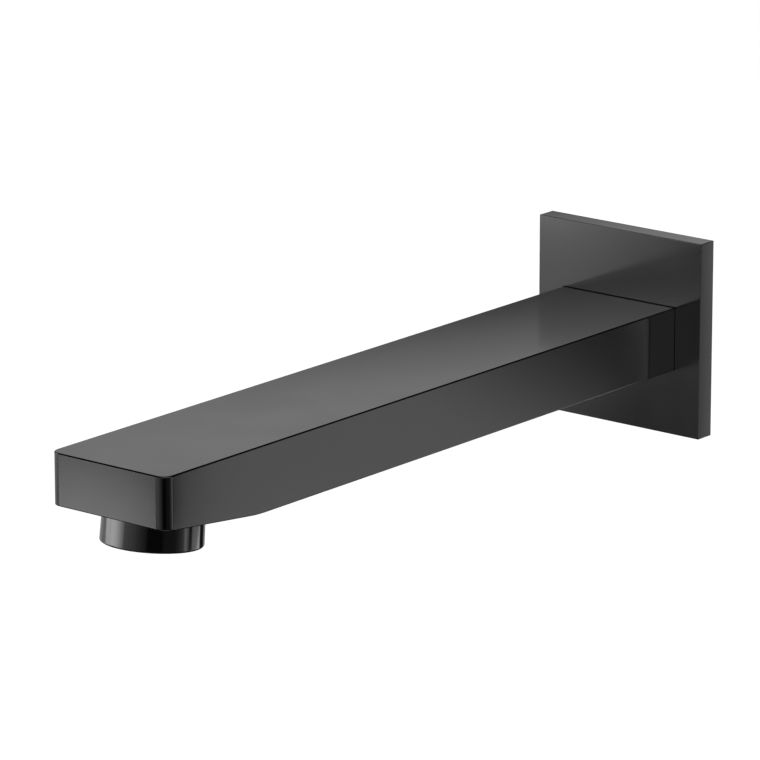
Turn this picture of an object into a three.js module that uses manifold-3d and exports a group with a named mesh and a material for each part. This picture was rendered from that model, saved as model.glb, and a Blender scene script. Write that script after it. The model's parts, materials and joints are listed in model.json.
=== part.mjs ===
// Wall-mounted bath spout: a rectangular hollow spout on a square cover plate, fed by a
// half-inch wall connector, with a screwed-in aerator under its tip.
//
// Millimetres, +Z up. The origin is where the inlet axis meets the finished wall. The wall is
// the plane Y = 0, the spout reaches out towards -Y, and X runs across it. Lengths called
// "distance" are measured out from the wall, so distance = -Y.
import * as THREE from 'three';
import { mergeVertices } from 'three/addons/utils/BufferGeometryUtils.js';
import Module from 'manifold-3d';

const wasm = await Module();
wasm.setup();

// ---------------------------------------------------------------- driving dimensions

const GAP = 0.25; // left between pieces that touch on the real spout
const RUNNING_GAP = 0.3; // left round pieces that slide or screw

// Cover plate
const PLATE_MARGIN = 9.2; // plate beyond each side of the spout
const PLATE_DEPTH = 6.4;
const PLATE_FACE = 2.4; // thickness of the plate's front
const PLATE_RIM = 1.8; // thickness of the plate's four edges
const PLATE_RISE = 0.5; // plate centre above the inlet axis
const SEAL_WIDTH = 2.2; // rubber ring between the plate and the spout
const SEAL_DEPTH = 1.7;
const SEAL_RIB = 1.2; // wall on the back of the plate that holds the ring

// Spout body
const REACH = 237.5; // wall to tip
const SPOUT_WIDTH = 41.6;
const SPOUT_HEIGHT = 19.3;
const SPOUT_WALL = 2;
const SPOUT_REAR = 1.2; // distance of the open rear end from the wall
const TIP_HEIGHT = 15.1;
const RAMP_LENGTH = 38.8; // underside that rises towards the tip
const CORNER_RADIUS = 3; // upright corners of the tip
const CORNER_STEPS = 6;

// Inlet: block, wall connector and its clamping screw
const BLOCK_REAR = 8;
const BLOCK_LENGTH = 36;
const BLOCK_WALL = 1.6; // brass left above and below the bore
const SPIGOT_DEPTH = 26; // how deep the bore for the spigot runs into the block
const SOCKET_DEPTH = 8; // how deep the water tube sits in each block
const THREAD_RADIUS = 10.45; // G 1/2 male
const THREAD_LENGTH = 16;
const THREAD_CHAMFER = 1;
const HEX_FLATS = 12;
const WATERWAY_RADIUS = 3.4;
const RING_SPACE = 1.7; // groove floor to bore wall
const RING_PITCH = 6; // between the two rings on the spigot
const RING_END = 4; // ring to the end that it seals
const SCREW_RADIUS = 2.4; // M5
const SCREW_PITCH_LINE = 14; // distance of the screw from the wall
const SCREW_RECESS = 0.4; // screw below the spout's skin
const SCREW_KEY_FLATS = 2.5;
const SCREW_KEY_DEPTH = 1.8;
const PAD_RADIUS = 1.9;
const PAD_THICKNESS = 0.8;
const NECK_DEPTH = 0.9; // waist in the spigot that the pad grips

// Water tube
const TUBE_WALL = 1.1;
const TUBE_CUFF = 12; // thicker end that carries the ring

// Outlet: block and aerator
const OUTLET_SETBACK = 19.1; // tip to the outlet axis
const OUTLET_BRIDGE = 1.95; // brass between the threaded bore and the tube's socket
const OUTLET_ROOF = 2.2;
const CHAMBER_HEIGHT = 3.4;
const PASSAGE_HEIGHT = 3.2;
const PASSAGE_WIDTH = 9;
const AERATOR_THREAD_RADIUS = 11.75; // M24 x 1
const COLLAR_STEP = 2.45; // collar outside its thread
const COLLAR_DRAFT = 0.2; // the collar's foot is this much wider
const COLLAR_LENGTH = 9.15;
const COLLAR_EDGE = 0.8;
const COLLAR_WALL = 1.55; // between the thread and the insert
const COLLAR_LIP = 1.4;
const LIP_OVERLAP = 0.9;
const INSERT_WALL = 1;
const FLANGE_THICKNESS = 1.2;
const WASHER_THICKNESS = 1.6;
const WASHER_WIDTH = 3;
const GRID_THICKNESS = 2;
const GRID_CELL = 1.15; // honeycomb cell, centre to corner
const GRID_RIB = 0.45;
const GRID_RINGS = 3;
const SCREEN_THICKNESS = 0.4;
const JET_THICKNESS = 1.4;
const JET_RADIUS = 0.45;
const JET_COUNT = 20;
const REGULATOR_HEIGHT = 2.8;
const REGULATOR_HUB = 3;
const REGULATOR_SPOKES = 6;
const REGULATOR_HOLE_RADIUS = 1.5;
const REGULATOR_SEAT_INSIDE = 1.3; // groove for its ring, from the hub's radius inwards
const REGULATOR_SEAT_OUTSIDE = 1;
const REGULATOR_SEAT_DEPTH = 1.3;
const REGULATOR_RING_INSET = 0.15;
const REGULATOR_RING_DEPTH = 0.6;
const REGULATOR_RING_SECTION = 0.4;
const DOME_THICKNESS = 0.5;
const DOME_HEIGHT = 2.6;
const DOME_STEPS = 4; // facets from the dome's rim to its top
const DOME_HOLE_RADIUS = 0.7;
const DOME_OUTER_HOLES = 12;
const DOME_INNER_HOLES = 6;
const DOME_OUTER_CIRCLE = 0.72; // hole circles, as shares of the dome's radius
const DOME_INNER_CIRCLE = 0.38;
const SCREEN_COARSENESS = 1.2; // mixing screen's cells against the outlet grid's
const AIR_SLOTS = 8;

const ROUND = 32; // facets round the large turned pieces
const COLLAR_ROUND = 48;
const SMALL_ROUND = 20;
const RING_FACETS = 6; // facets round an o-ring's section
const HOLE_FACETS = 6;
const REGULATOR_HOLE_FACETS = 8;
const OVERRUN = 1; // how far a cut runs past the piece it goes through

// ---------------------------------------------------------------- derived dimensions

const halfWidth = SPOUT_WIDTH / 2;
const halfHeight = SPOUT_HEIGHT / 2;
const plateSide = SPOUT_WIDTH + 2 * PLATE_MARGIN;
const rampStart = REACH - RAMP_LENGTH;
const rampAngle = Math.atan2(SPOUT_HEIGHT - TIP_HEIGHT, RAMP_LENGTH);
const blockInset = SPOUT_WALL + GAP;

const boreRadius = halfHeight - blockInset - BLOCK_WALL;
const spigotRadius = boreRadius - RUNNING_GAP;
const grooveFloor = boreRadius - RING_SPACE;
const ringRadius = (RING_SPACE - 2 * GAP) / 2;
const grooveHalf = ringRadius + GAP;
const spigotEnd = BLOCK_REAR + SPIGOT_DEPTH - 2;
const neckRadius = spigotRadius - NECK_DEPTH;
const neckHalf = PAD_RADIUS + GAP + RUNNING_GAP;

const blockFront = BLOCK_REAR + BLOCK_LENGTH;
const outletDistance = REACH - OUTLET_SETBACK;
const threadBore = AERATOR_THREAD_RADIUS + RUNNING_GAP;
const outletBlockBack = threadBore + OUTLET_BRIDGE + SOCKET_DEPTH; // block behind the axis
const outletBlockRear = outletDistance - outletBlockBack;
const tubeStart = blockFront - SOCKET_DEPTH + GAP;
const tubeEnd = outletBlockRear + SOCKET_DEPTH - GAP;

const outletFloor = -halfHeight + (outletDistance - rampStart) * Math.tan(rampAngle);
const stackRoom = (halfHeight - blockInset - outletFloor) / Math.cos(rampAngle);
const boreTop = -(stackRoom - OUTLET_ROOF - CHAMBER_HEIGHT);
const collarRadius = AERATOR_THREAD_RADIUS + COLLAR_STEP;
const chamberRadius = threadBore - WASHER_WIDTH - RUNNING_GAP;
const washerTop = boreTop + GAP;
const flangeTop = washerTop + WASHER_THICKNESS + GAP;
const insertTop = flangeTop + FLANGE_THICKNESS + GAP; // top rim of the screwed housing
const housingBore = AERATOR_THREAD_RADIUS - COLLAR_WALL;
const insertRadius = housingBore - GAP;
const insertBore = insertRadius - INSERT_WALL;
const stackRadius = insertBore - GAP;
const insertFoot = COLLAR_LENGTH - COLLAR_LIP - GAP;
const ledge = 0.5; // turned-in foot of the insert
const gridFoot = insertFoot - ledge - GAP;
const screenFoot = gridFoot - GRID_THICKNESS - GAP;
const regulatorTop = flangeTop + FLANGE_THICKNESS / 2;
const jetTop = regulatorTop + REGULATOR_HEIGHT + GAP;

// The outlet's own frame: its origin is where the outlet axis leaves the sloping underside,
// and its -Z points down the axis. Depths along it are positive outwards.
const outletPosition = new THREE.Vector3(0, -outletDistance, outletFloor);
const outletFrame = new THREE.Matrix4()
  .makeRotationX(-rampAngle)
  .setPosition(outletPosition);

// ---------------------------------------------------------------- geometry helpers

function volumeOf(geometry) {
  const { position } = geometry.attributes;
  const corners = [new THREE.Vector3(), new THREE.Vector3(), new THREE.Vector3()];
  let volume = 0;
  for (let i = 0; i < geometry.index.count; i += 3) {
    corners.forEach((corner, k) => corner.fromBufferAttribute(position, geometry.index.getX(i + k)));
    volume += corners[0].dot(corners[1].cross(corners[2])) / 6;
  }
  return volume;
}

// Welds a geometry into one closed skin whose faces point outwards.
function weld(geometry) {
  const bare = geometry.clone();
  bare.deleteAttribute('normal');
  bare.deleteAttribute('uv');
  const welded = mergeVertices(bare, 1e-4);
  const { array } = welded.index;
  const triangles = [];
  for (let i = 0; i < array.length; i += 3) {
    const [a, b, c] = [array[i], array[i + 1], array[i + 2]];
    if (a !== b && b !== c && c !== a) triangles.push(a, b, c);
  }
  welded.setIndex(triangles);
  if (volumeOf(welded) < 0) welded.setIndex(triangles.reverse());
  return welded;
}

function toSolid(geometry) {
  const welded = weld(geometry);
  return new wasm.Manifold(new wasm.Mesh({
    numProp: 3,
    vertProperties: new Float32Array(welded.attributes.position.array),
    triVerts: new Uint32Array(welded.index.array),
  }));
}

function toGeometry(solid) {
  const { vertProperties, triVerts } = solid.getMesh();
  const geometry = new THREE.BufferGeometry();
  geometry.setAttribute('position', new THREE.BufferAttribute(new Float32Array(vertProperties), 3));
  geometry.setIndex(new THREE.BufferAttribute(new Uint32Array(triVerts), 1));
  geometry.computeVertexNormals();
  return geometry;
}

function cut(geometry, tools) {
  return toGeometry(tools.reduce((solid, tool) => solid.subtract(toSolid(tool)), toSolid(geometry)));
}

function join(geometry, others) {
  return toGeometry(others.reduce((solid, other) => solid.add(toSolid(other)), toSolid(geometry)));
}

function common(a, b) {
  return toGeometry(toSolid(a).intersect(toSolid(b)));
}

function polygon(points) {
  return new THREE.Shape(points.map(([x, y]) => new THREE.Vector2(x, y)));
}

function rectangle(width, height, centreY = 0) {
  const [x, y] = [width / 2, height / 2];
  return polygon([[-x, centreY - y], [x, centreY - y], [x, centreY + y], [-x, centreY + y]]);
}

function hexagon(flats) {
  const corner = flats / Math.sqrt(3);
  const turns = [0, 1, 2, 3, 4, 5].map((k) => (k * Math.PI) / 3);
  return polygon(turns.map((turn) => [corner * Math.cos(turn), corner * Math.sin(turn)]));
}

function ring(radius, steps) {
  const turns = Array.from({ length: steps }, (_, k) => (k * 2 * Math.PI) / steps);
  return turns.map((turn) => [radius * Math.cos(turn), radius * Math.sin(turn)]);
}

function extrude(shape, depth) {
  return new THREE.ExtrudeGeometry(shape, { depth, bevelEnabled: false, curveSegments: 1 });
}

// An outline in (x, z) run out from the wall between two distances.
function alongSpout(shape, from, to) {
  const axes = new THREE.Matrix4().makeBasis(
    new THREE.Vector3(1, 0, 0), new THREE.Vector3(0, 0, 1), new THREE.Vector3(0, -1, 0));
  return extrude(shape, to - from).applyMatrix4(axes).translate(0, -from, 0);
}

// An outline in (distance, z) run across the spout.
function acrossSpout(shape, width) {
  const axes = new THREE.Matrix4().makeBasis(
    new THREE.Vector3(0, -1, 0), new THREE.Vector3(0, 0, 1), new THREE.Vector3(-1, 0, 0));
  return extrude(shape, width).applyMatrix4(axes).translate(width / 2, 0, 0);
}

// An outline in (x, distance) run upwards between two heights.
function upwards(shape, from, to) {
  const axes = new THREE.Matrix4().makeBasis(
    new THREE.Vector3(1, 0, 0), new THREE.Vector3(0, -1, 0), new THREE.Vector3(0, 0, -1));
  return extrude(shape, to - from).applyMatrix4(axes).translate(0, 0, to);
}

function lathe(profile, steps) {
  return new THREE.LatheGeometry(profile.map(([r, s]) => new THREE.Vector2(r, s)), steps);
}

// Profiles of (radius, distance) turned about the inlet axis.
function turnOnInlet(profile, steps = ROUND) {
  return lathe(profile, steps).rotateX(Math.PI);
}

// Profiles of (radius, depth) turned about the outlet axis, in the outlet's own frame.
function turnOnOutlet(profile, steps = ROUND) {
  return lathe(profile, steps).rotateX(-Math.PI / 2);
}

// A flat outline in the outlet's own frame, from one depth to a deeper one.
function plateOnOutlet(shape, from, to) {
  return extrude(shape, to - from).translate(0, 0, -to);
}

function rod(radius, from, to) {
  return [[0, from], [radius, from], [radius, to], [0, to]];
}

function tube(inner, outer, from, to) {
  return [[inner, from], [outer, from], [outer, to], [inner, to], [inner, from]];
}

function roundSection(radius, centre, section) {
  return [...ring(section, RING_FACETS), [section, 0]].map(([r, s]) => [radius + r, centre + s]);
}

function inOutletFrame(geometry) {
  return geometry.applyMatrix4(outletFrame);
}

// ---------------------------------------------------------------- spout shapes

// Plan of the spout with rounded corners at the tip, drawn inset from the outer skin.
function spoutPlan(inset, rear) {
  const side = halfWidth - inset;
  const front = REACH - inset;
  const radius = Math.max(CORNER_RADIUS - inset, GAP);
  const arc = Array.from({ length: CORNER_STEPS + 1 }, (_, k) => (k * Math.PI) / 2 / CORNER_STEPS);
  const right = arc.map((turn) => [
    side - radius * (1 - Math.cos(turn)), front - radius * (1 - Math.sin(turn))]);
  const left = right.map(([x, distance]) => [-x, distance]).reverse();
  return polygon([[-side, rear], [side, rear], ...right, ...left]);
}

// Side view of the spout: flat top, flat underside and the ramp up to the tip.
function spoutSide(inset, rear) {
  const slope = Math.tan(rampAngle);
  const top = halfHeight - inset;
  const front = REACH - inset;
  const bend = rampStart - inset * Math.tan(rampAngle / 2);
  const tipFloor = -top + (front - bend) * slope;
  return polygon([[rear, -top], [bend, -top], [front, tipFloor], [front, top], [rear, top]]);
}

function spoutSolid(inset, rear) {
  const plan = upwards(spoutPlan(inset, rear), -halfHeight, halfHeight);
  return common(plan, acrossSpout(spoutSide(inset, rear), SPOUT_WIDTH + 2));
}

function screwHole(radius) {
  const hole = new THREE.CylinderGeometry(radius, radius, halfHeight, SMALL_ROUND);
  return hole.rotateX(Math.PI / 2).translate(0, -SCREW_PITCH_LINE, -halfHeight);
}

function outletHole(radius, from, to) {
  return inOutletFrame(turnOnOutlet(rod(radius, from, to)));
}

function makeSpoutBody() {
  return cut(spoutSolid(0, SPOUT_REAR), [
    spoutSolid(SPOUT_WALL, SPOUT_REAR - 1),
    outletHole(threadBore, -SPOUT_WALL * 2, SPOUT_WALL),
    screwHole(SCREW_RADIUS + RUNNING_GAP),
  ]);
}

// ---------------------------------------------------------------- cover plate

const apertureWidth = SPOUT_WIDTH + 2 * RUNNING_GAP;
const apertureHeight = SPOUT_HEIGHT + 2 * RUNNING_GAP;
const sealRoom = SEAL_WIDTH + GAP;
const ribDepth = SEAL_DEPTH + 2 * GAP;
const cupDepth = PLATE_DEPTH - PLATE_FACE;

function spoutFrame(growth, from, to) {
  const outline = rectangle(apertureWidth + 2 * growth, apertureHeight + 2 * growth);
  return alongSpout(outline, from, to);
}

function makeWallPlate() {
  const inside = plateSide - 2 * PLATE_RIM;
  const cup = cut(alongSpout(rectangle(plateSide, plateSide, PLATE_RISE), 0, PLATE_DEPTH), [
    alongSpout(rectangle(inside, inside, PLATE_RISE), -1, cupDepth)]);
  const rib = spoutFrame(sealRoom + SEAL_RIB, cupDepth - ribDepth, cupDepth + PLATE_FACE / 2);
  return cut(join(cup, [rib]), [
    spoutFrame(sealRoom, -1, cupDepth),
    spoutFrame(0, -1, PLATE_DEPTH + 1),
  ]);
}

function makePlateGasket() {
  const side = plateSide - 2 * (PLATE_RIM + GAP);
  const foam = alongSpout(rectangle(side, side, PLATE_RISE), 0, cupDepth - GAP);
  return cut(foam, [spoutFrame(sealRoom + SEAL_RIB + GAP, -1, cupDepth + 1)]);
}

function makePlateSealRing() {
  const ringRear = cupDepth - GAP - SEAL_DEPTH;
  return cut(spoutFrame(SEAL_WIDTH, ringRear, cupDepth - GAP), [
    spoutFrame(0, ringRear - 1, PLATE_DEPTH)]);
}

// ---------------------------------------------------------------- inlet

function makeInletBlock() {
  const outline = rectangle(2 * (halfWidth - blockInset), 2 * (halfHeight - blockInset));
  const spigotFloor = BLOCK_REAR + SPIGOT_DEPTH;
  return cut(alongSpout(outline, BLOCK_REAR, blockFront), [
    turnOnInlet(rod(boreRadius, BLOCK_REAR - 1, spigotFloor)),
    turnOnInlet(rod(WATERWAY_RADIUS, BLOCK_REAR, blockFront)),
    turnOnInlet(rod(boreRadius, blockFront - SOCKET_DEPTH, blockFront + 1)),
    screwHole(SCREW_RADIUS + RUNNING_GAP),
  ]);
}

function groove(centre, floor, half, surface) {
  return [[surface, centre - half], [floor, centre - half], [floor, centre + half],
    [surface, centre + half]];
}

const frontRing = spigotEnd - RING_END;
const rearRing = frontRing - RING_PITCH;

function makeInletConnector() {
  const crest = THREAD_RADIUS - THREAD_CHAMFER;
  const turned = turnOnInlet([
    [0, -THREAD_LENGTH], [crest, -THREAD_LENGTH],
    [THREAD_RADIUS, THREAD_CHAMFER - THREAD_LENGTH], [THREAD_RADIUS, -GAP],
    [spigotRadius, -GAP],
    ...groove(SCREW_PITCH_LINE, neckRadius, neckHalf, spigotRadius),
    ...groove(rearRing, grooveFloor, grooveHalf, spigotRadius),
    ...groove(frontRing, grooveFloor, grooveHalf, spigotRadius),
    [spigotRadius, spigotEnd - GAP], [spigotRadius - GAP, spigotEnd], [0, spigotEnd],
  ]);
  const hex = alongSpout(hexagon(HEX_FLATS), -GAP * 2, BLOCK_REAR - 1);
  return cut(join(turned, [hex]), [
    turnOnInlet(rod(WATERWAY_RADIUS, -THREAD_LENGTH - 1, spigotEnd + 1))]);
}

function makeInletRing(distance) {
  return turnOnInlet(roundSection(grooveFloor + RING_SPACE / 2, distance, ringRadius), SMALL_ROUND);
}

// The screw stands upright under the spigot; its pad grips the spigot's waist.
const padTop = -neckRadius - GAP;
const screwTop = padTop - PAD_THICKNESS - GAP;
const screwFoot = -halfHeight + SCREW_RECESS;

function uprightAtScrew(geometry, height) {
  return geometry.rotateX(Math.PI / 2).translate(0, -SCREW_PITCH_LINE, height);
}

function makeClampPad() {
  const disc = new THREE.CylinderGeometry(PAD_RADIUS, PAD_RADIUS, PAD_THICKNESS, SMALL_ROUND);
  return uprightAtScrew(disc, padTop - PAD_THICKNESS / 2);
}

function makeGrubScrew() {
  const length = screwTop - screwFoot;
  const shank = new THREE.CylinderGeometry(SCREW_RADIUS, SCREW_RADIUS, length, SMALL_ROUND);
  const key = upwards(hexagon(SCREW_KEY_FLATS), screwFoot - 1, screwFoot + SCREW_KEY_DEPTH);
  return cut(uprightAtScrew(shank, (screwTop + screwFoot) / 2), [
    key.translate(0, -SCREW_PITCH_LINE, 0)]);
}

// ---------------------------------------------------------------- water tube

const tubeFirstRing = tubeStart + RING_END;
const tubeLastRing = tubeEnd - RING_END;

function makeWaterTube() {
  const slim = WATERWAY_RADIUS + TUBE_WALL;
  return turnOnInlet([
    [WATERWAY_RADIUS, tubeStart], [spigotRadius, tubeStart],
    ...groove(tubeFirstRing, grooveFloor, grooveHalf, spigotRadius),
    [spigotRadius, tubeStart + TUBE_CUFF], [slim, tubeStart + TUBE_CUFF + 1],
    [slim, tubeEnd - TUBE_CUFF - 1], [spigotRadius, tubeEnd - TUBE_CUFF],
    ...groove(tubeLastRing, grooveFloor, grooveHalf, spigotRadius),
    [spigotRadius, tubeEnd], [WATERWAY_RADIUS, tubeEnd], [WATERWAY_RADIUS, tubeStart],
  ], SMALL_ROUND);
}

// ---------------------------------------------------------------- outlet block

function makeOutletBlock() {
  const tipPiece = spoutSolid(blockInset, outletBlockRear);
  const chamberFloor = outletFloor - boreTop * Math.cos(rampAngle);
  const passageFloor = chamberFloor - GAP;
  const passage = alongSpout(
    rectangle(PASSAGE_WIDTH, PASSAGE_HEIGHT, passageFloor + PASSAGE_HEIGHT / 2),
    outletBlockRear + SOCKET_DEPTH - 1, outletDistance);
  return cut(tipPiece, [
    turnOnInlet(rod(boreRadius, outletBlockRear - 1, outletBlockRear + SOCKET_DEPTH)),
    passage,
    outletHole(threadBore, boreTop, SPOUT_WALL),
    outletHole(chamberRadius, boreTop - CHAMBER_HEIGHT, boreTop + 1),
  ]);
}

// ---------------------------------------------------------------- aerator, in the outlet's frame

function makeAeratorHousing() {
  const foot = collarRadius + COLLAR_DRAFT;
  const lip = insertRadius - LIP_OVERLAP;
  const edge = Array.from({ length: 4 }, (_, k) => (k * Math.PI) / 6);
  const roundedFoot = edge.map((turn) => [
    foot - COLLAR_EDGE * (1 - Math.cos(turn)), COLLAR_LENGTH - COLLAR_EDGE * (1 - Math.sin(turn))]);
  return turnOnOutlet([
    [housingBore, insertTop], [AERATOR_THREAD_RADIUS, insertTop], [AERATOR_THREAD_RADIUS, GAP],
    [collarRadius, GAP], ...roundedFoot,
    [lip, COLLAR_LENGTH], [lip, COLLAR_LENGTH - COLLAR_LIP],
    [housingBore, COLLAR_LENGTH - COLLAR_LIP], [housingBore, insertTop],
  ], COLLAR_ROUND);
}

function makeAeratorWasher() {
  const outer = AERATOR_THREAD_RADIUS - GAP;
  const foot = washerTop + WASHER_THICKNESS;
  return turnOnOutlet(tube(outer - WASHER_WIDTH, outer, washerTop, foot));
}

function radialSlots(count, width, from, to, inner, outer) {
  return Array.from({ length: count }, (_, k) => {
    const slot = new THREE.BoxGeometry(outer - inner, width, to - from);
    slot.translate((inner + outer) / 2, 0, -(from + to) / 2);
    return slot.rotateZ(((k + 0.5) * 2 * Math.PI) / count);
  });
}

function makeAeratorInsert() {
  const flangeRadius = AERATOR_THREAD_RADIUS - GAP;
  const shell = turnOnOutlet([
    [insertBore, flangeTop], [flangeRadius, flangeTop],
    [flangeRadius, flangeTop + FLANGE_THICKNESS], [insertRadius, flangeTop + FLANGE_THICKNESS],
    [insertRadius, insertFoot], [insertBore - ledge, insertFoot],
    [insertBore - ledge, insertFoot - ledge], [insertBore, insertFoot - ledge],
    [insertBore, flangeTop],
  ]);
  const slotTop = jetTop + JET_THICKNESS + GAP;
  return cut(shell, radialSlots(AIR_SLOTS, 2, slotTop, slotTop + 1.6,
    insertBore - 1, insertRadius + 1));
}

function punchedDisc(radius, holes) {
  const disc = polygon(ring(radius, ROUND));
  disc.holes = holes.map((points) => new THREE.Path(
    points.map(([x, y]) => new THREE.Vector2(x, y)).reverse()));
  return disc;
}

function holesOnCircle(count, circle, radius, steps) {
  return Array.from({ length: count }, (_, k) => {
    const turn = (k * 2 * Math.PI) / count;
    const [x, y] = [circle * Math.cos(turn), circle * Math.sin(turn)];
    return ring(radius, steps).map(([px, py]) => [x + px, y + py]);
  });
}

function makeInletScreen() {
  const rim = chamberRadius - RUNNING_GAP * 2;
  const rimDepth = flangeTop - GAP;
  const skin = (thickness) => Array.from({ length: DOME_STEPS + 1 }, (_, k) => {
    const turn = (k * Math.PI) / 2 / DOME_STEPS;
    const radius = k === DOME_STEPS ? 0 : (rim - thickness) * Math.cos(turn);
    return [radius, rimDepth - (DOME_HEIGHT - thickness) * Math.sin(turn)];
  });
  const outer = skin(0);
  const dome = turnOnOutlet([...outer, ...skin(DOME_THICKNESS).reverse(), outer[0]]);
  const holeRings = [
    [DOME_OUTER_HOLES, rim * DOME_OUTER_CIRCLE],
    [DOME_INNER_HOLES, rim * DOME_INNER_CIRCLE],
  ];
  const punches = holeRings.flatMap(([count, circle]) => (
    holesOnCircle(count, circle, DOME_HOLE_RADIUS, HOLE_FACETS)));
  return cut(dome, punches.map((points) => plateOnOutlet(
    polygon(points), rimDepth - DOME_HEIGHT - OVERRUN, rimDepth + OVERRUN)));
}

function makeFlowRegulator() {
  const circle = (REGULATOR_HUB + stackRadius) / 2;
  const holes = holesOnCircle(REGULATOR_SPOKES, circle, REGULATOR_HOLE_RADIUS, REGULATOR_HOLE_FACETS);
  const disc = punchedDisc(stackRadius, holes);
  const seat = turnOnOutlet(tube(
    REGULATOR_HUB - REGULATOR_SEAT_INSIDE, REGULATOR_HUB + REGULATOR_SEAT_OUTSIDE,
    regulatorTop - OVERRUN, regulatorTop + REGULATOR_SEAT_DEPTH), SMALL_ROUND);
  return cut(plateOnOutlet(disc, regulatorTop, regulatorTop + REGULATOR_HEIGHT), [seat]);
}

function makeRegulatorRing() {
  return turnOnOutlet(roundSection(
    REGULATOR_HUB - REGULATOR_RING_INSET, regulatorTop + REGULATOR_RING_DEPTH,
    REGULATOR_RING_SECTION), SMALL_ROUND);
}

function makeJetPlate() {
  const holes = [
    ...holesOnCircle(JET_COUNT, stackRadius - 1.6, JET_RADIUS, 6),
    ...holesOnCircle(JET_COUNT / 2, stackRadius - 4, JET_RADIUS, 6),
  ];
  return plateOnOutlet(punchedDisc(stackRadius, holes), jetTop, jetTop + JET_THICKNESS);
}

// Centres of hexagonal rings round a middle cell, as on a honeycomb.
function honeycomb(pitch, rings) {
  const centres = [];
  for (let q = -rings; q <= rings; q += 1) {
    for (let r = -rings; r <= rings; r += 1) {
      if (Math.abs(q + r) <= rings) {
        centres.push([pitch * (q + r / 2), (pitch * r * Math.sqrt(3)) / 2]);
      }
    }
  }
  return centres;
}

function cells(corner, rib, rings) {
  const pitch = corner * Math.sqrt(3) + rib;
  return honeycomb(pitch, rings).map(([x, y]) => ring(corner, 6).map(
    ([px, py]) => [x - py, y + px]));
}

function makeMixingScreen() {
  const holes = cells(
    GRID_CELL * SCREEN_COARSENESS, GRID_RIB * SCREEN_COARSENESS, GRID_RINGS - 1);
  return plateOnOutlet(punchedDisc(stackRadius, holes), screenFoot - SCREEN_THICKNESS, screenFoot);
}

function makeOutletGrid() {
  const holes = cells(GRID_CELL, GRID_RIB, GRID_RINGS);
  return plateOnOutlet(punchedDisc(stackRadius, holes), gridFoot - GRID_THICKNESS, gridFoot);
}

// ---------------------------------------------------------------- materials and assembly

function finish(color, roughness, metalness) {
  return new THREE.MeshStandardMaterial({ color, roughness, metalness });
}

const satinBlack = finish(0x3f4042, 0.35, 0.6);
const brass = finish(0xc2a15a, 0.3, 1);
const rubber = finish(0x1b1b1c, 0.8, 0);
const foam = finish(0x4a4a4c, 0.95, 0);
const steel = finish(0xb9bcc0, 0.3, 1);
const whitePlastic = finish(0xdddcd6, 0.5, 0);
const greyPlastic = finish(0x8d9094, 0.5, 0);

function piece(name, geometry, material) {
  const mesh = new THREE.Mesh(weld(geometry), material);
  mesh.name = name;
  return mesh;
}

const coverPlate = new THREE.Group();
coverPlate.add(
  piece('wall_plate', makeWallPlate(), satinBlack),
  piece('plate_gasket', makePlateGasket(), foam),
  piece('plate_seal_ring', makePlateSealRing(), rubber),
);

const inlet = new THREE.Group();
inlet.add(
  piece('inlet_block', makeInletBlock(), brass),
  piece('inlet_connector', makeInletConnector(), brass),
  piece('spigot_o_ring_rear', makeInletRing(rearRing), rubber),
  piece('spigot_o_ring_front', makeInletRing(frontRing), rubber),
  piece('clamp_pad', makeClampPad(), whitePlastic),
  piece('grub_screw', makeGrubScrew(), steel),
);

const waterway = new THREE.Group();
waterway.add(
  piece('water_tube', makeWaterTube(), whitePlastic),
  piece('tube_o_ring_inlet', makeInletRing(tubeFirstRing), rubber),
  piece('tube_o_ring_outlet', makeInletRing(tubeLastRing), rubber),
  piece('outlet_block', makeOutletBlock(), brass),
);

const aerator = new THREE.Group();
aerator.position.copy(outletPosition);
aerator.rotation.x = -rampAngle;
aerator.add(
  piece('aerator_housing', makeAeratorHousing(), satinBlack),
  piece('aerator_washer', makeAeratorWasher(), rubber),
  piece('aerator_insert', makeAeratorInsert(), greyPlastic),
  piece('inlet_screen', makeInletScreen(), greyPlastic),
  piece('flow_regulator', makeFlowRegulator(), whitePlastic),
  piece('regulator_o_ring', makeRegulatorRing(), rubber),
  piece('jet_plate', makeJetPlate(), whitePlastic),
  piece('mixing_screen', makeMixingScreen(), steel),
  piece('outlet_grid', makeOutletGrid(), greyPlastic),
);

const spout = new THREE.Group();
spout.add(piece('spout_body', makeSpoutBody(), satinBlack), coverPlate, inlet, waterway, aerator);

export default spout;
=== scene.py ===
"""Wall-mounted bath spout: its visible pieces, finishes and studio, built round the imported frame.

The file is laid out as an add-on: property groups hold the sizes and colours, one operator
makes each piece or group of like pieces, and a panel in the 3D view's sidebar lists them.
Everything is in metres in the frame's own axes: the wall is the plane Y = 0, the spout
reaches out towards -Y, and +Z is up.
"""

import json
import math

import bmesh
import bpy
from bpy.props import FloatProperty, FloatVectorProperty, PointerProperty, StringProperty
from mathutils import Matrix, Vector


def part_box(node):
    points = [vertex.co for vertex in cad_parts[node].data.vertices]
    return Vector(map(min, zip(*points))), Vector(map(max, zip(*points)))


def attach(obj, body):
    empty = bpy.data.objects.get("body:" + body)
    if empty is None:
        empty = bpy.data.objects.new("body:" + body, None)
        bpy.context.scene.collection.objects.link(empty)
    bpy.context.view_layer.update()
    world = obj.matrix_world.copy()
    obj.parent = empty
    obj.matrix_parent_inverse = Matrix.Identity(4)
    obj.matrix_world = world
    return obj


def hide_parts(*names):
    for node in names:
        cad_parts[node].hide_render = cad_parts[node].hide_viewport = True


bl_info = {
    "name": "Bath Spout",
    "version": (1, 0, 0),
    "blender": (4, 5, 0),
    "location": "View3D > Sidebar > Spout",
    "description": "Builds a wall-mounted bath spout with its finishes and a studio",
    "category": "Object",
}

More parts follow.
